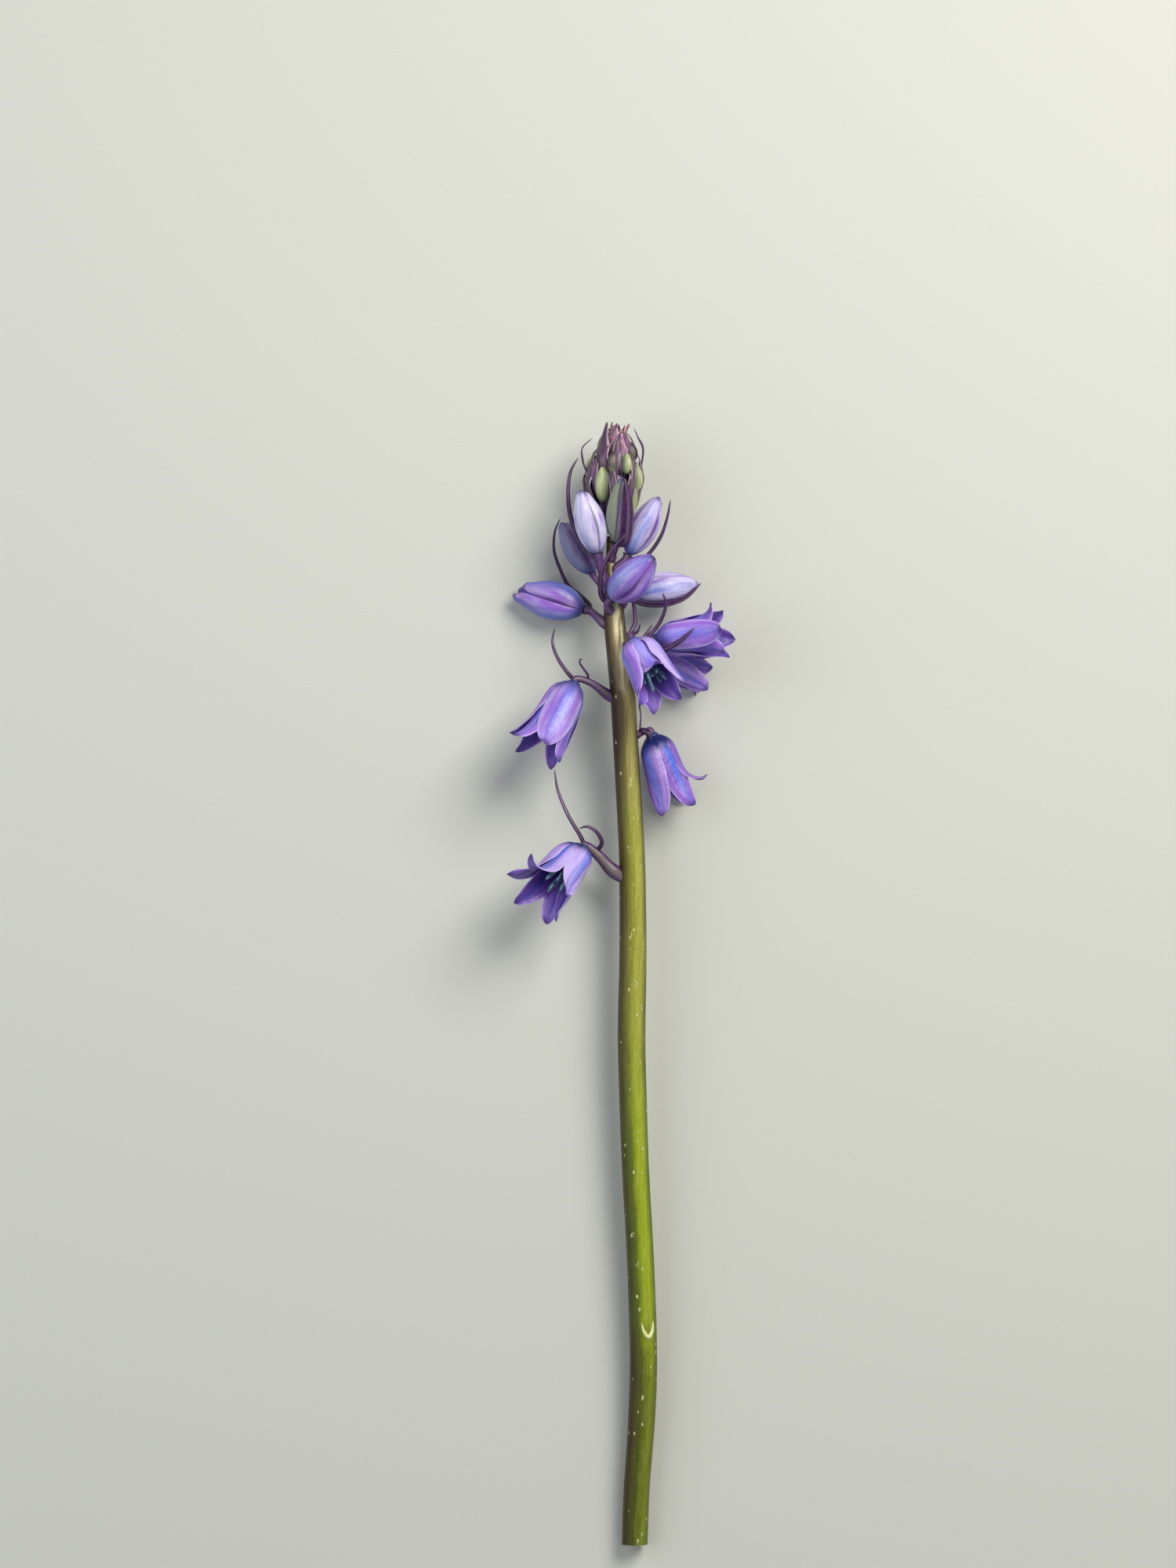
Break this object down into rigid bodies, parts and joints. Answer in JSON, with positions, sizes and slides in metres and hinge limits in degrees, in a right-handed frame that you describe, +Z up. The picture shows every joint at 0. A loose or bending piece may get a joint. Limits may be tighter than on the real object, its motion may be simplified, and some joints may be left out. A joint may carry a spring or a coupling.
{
  "type": "squill flower head",
  "caption": "Cut squill flower head lying down: fleshy stem with drooping open bells, large closed buds, slender bracts and a cone of young buds at the tip.",
  "frame": {"origin": "centre of the bounding box in plan, on the surface that the cut stem lies on", "axes": "+Y along the stem towards the tip of the flower head, +X to the right seen from above with the tip away, +Z up from the surface"},
  "size_m": [0.0473, 0.2303, 0.0311],
  "materials": {
    "stem_skin": "waxy green plant skin, turning purple-brown towards the tip",
    "stalk_skin": "satin purple-brown plant skin",
    "tepal_skin": "soft satin violet-blue petal with a blue midrib",
    "stamen_skin": "matt slate-blue anthers on pale filaments",
    "bud_skin": "satin lilac bud with blue veins",
    "cone_skin": "satin green young buds among purple bracts"
  },
  "bodies": {
    "root": {"scape": "stem_skin", "flower_1_bell": "tepal_skin", "flower_1_stamens": "stamen_skin", "flower_1_stalk": "stalk_skin", "flower_2_bell": "tepal_skin", "flower_2_stamens": "stamen_skin", "flower_2_stalk": "stalk_skin", "flower_3_bell": "tepal_skin", "flower_3_stamens": "stamen_skin", "flower_3_stalk": "stalk_skin", "flower_4_bell": "tepal_skin", "flower_4_stamens": "stamen_skin", "flower_4_stalk": "stalk_skin", "flower_5_bell": "tepal_skin", "flower_5_stamens": "stamen_skin", "flower_5_stalk": "stalk_skin", "flower_6_bell": "tepal_skin", "flower_6_stamens": "stamen_skin", "flower_6_stalk": "stalk_skin", "bud_1": "bud_skin", "bud_1_stalk": "stalk_skin", "bud_2": "bud_skin", "bud_2_stalk": "stalk_skin", "bud_3": "bud_skin", "bud_3_stalk": "stalk_skin", "bud_4": "bud_skin", "bud_4_stalk": "stalk_skin", "bud_5": "bud_skin", "bud_5_stalk": "stalk_skin", "bud_6": "bud_skin", "bud_6_stalk": "stalk_skin", "bud_7": "bud_skin", "bud_7_stalk": "stalk_skin", "bud_cone": "cone_skin"}
  },
  "joints": []
}
